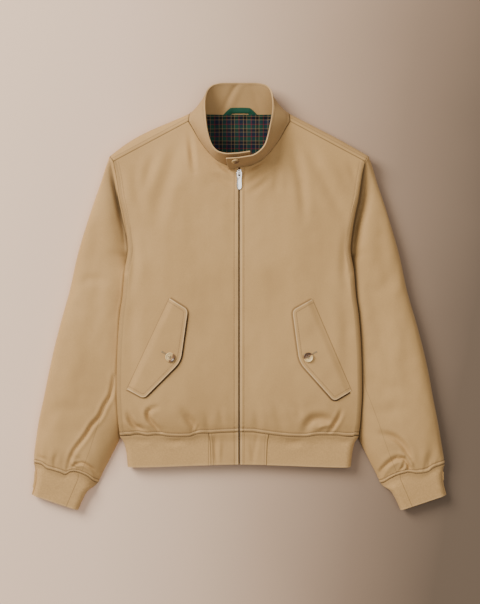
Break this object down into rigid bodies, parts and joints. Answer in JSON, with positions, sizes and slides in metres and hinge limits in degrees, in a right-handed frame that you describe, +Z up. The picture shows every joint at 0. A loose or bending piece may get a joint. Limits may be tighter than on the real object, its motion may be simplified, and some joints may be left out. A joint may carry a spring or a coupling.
{
  "type": "harrington jacket",
  "caption": "Hip-length zipped jacket laid flat face up, stand collar with overlapping tab, slant buttoned pocket flaps, set-in sleeves, knitted cuffs and hem band.",
  "frame": {"origin": "middle of the footprint of the jacket as it lies, on the surface it lies on", "axes": "+Y from the hem towards the collar, +Z up from the surface out of the jacket's front, +X towards the wearer's left sleeve"},
  "size_m": [0.7832, 0.811, 0.0931],
  "materials": {
    "twill": "tan cotton and polyester twill with a soft sheen",
    "rib": "tan fine knitted rib",
    "plaid": "green, navy and black plaid with red and tan lines",
    "ribbon": "green woven tape",
    "zip_metal": "polished white metal",
    "horn": "marbled beige and brown, polished"
  },
  "bodies": {
    "jacket": {"back": "twill", "front_left": "twill", "front_right": "twill", "sleeve_left": "twill", "sleeve_right": "twill", "sleeve_under_left": "twill", "sleeve_under_right": "twill", "cuff_left": "rib", "cuff_right": "rib", "band_rib": "rib", "band_tab_left": "twill", "band_tab_right": "twill", "collar": "twill", "flap_left": "twill", "flap_right": "twill", "flap_button_left": "horn", "flap_button_right": "horn", "collar_button": "horn", "zip_tape_left": "twill", "zip_tape_right": "twill", "zip_slider": "zip_metal", "lining_back": "plaid", "hanger_loop": "ribbon"},
    "pull": {"zip_pull": "zip_metal"}
  },
  "joints": [
    {"name": "pull_hinge", "type": "hinge", "parent": "jacket", "child": "pull", "pos_m": [0, 0.2364, 0.04794], "axis": [-1, 0, 0], "range_deg": [0, 100]}
  ]
}
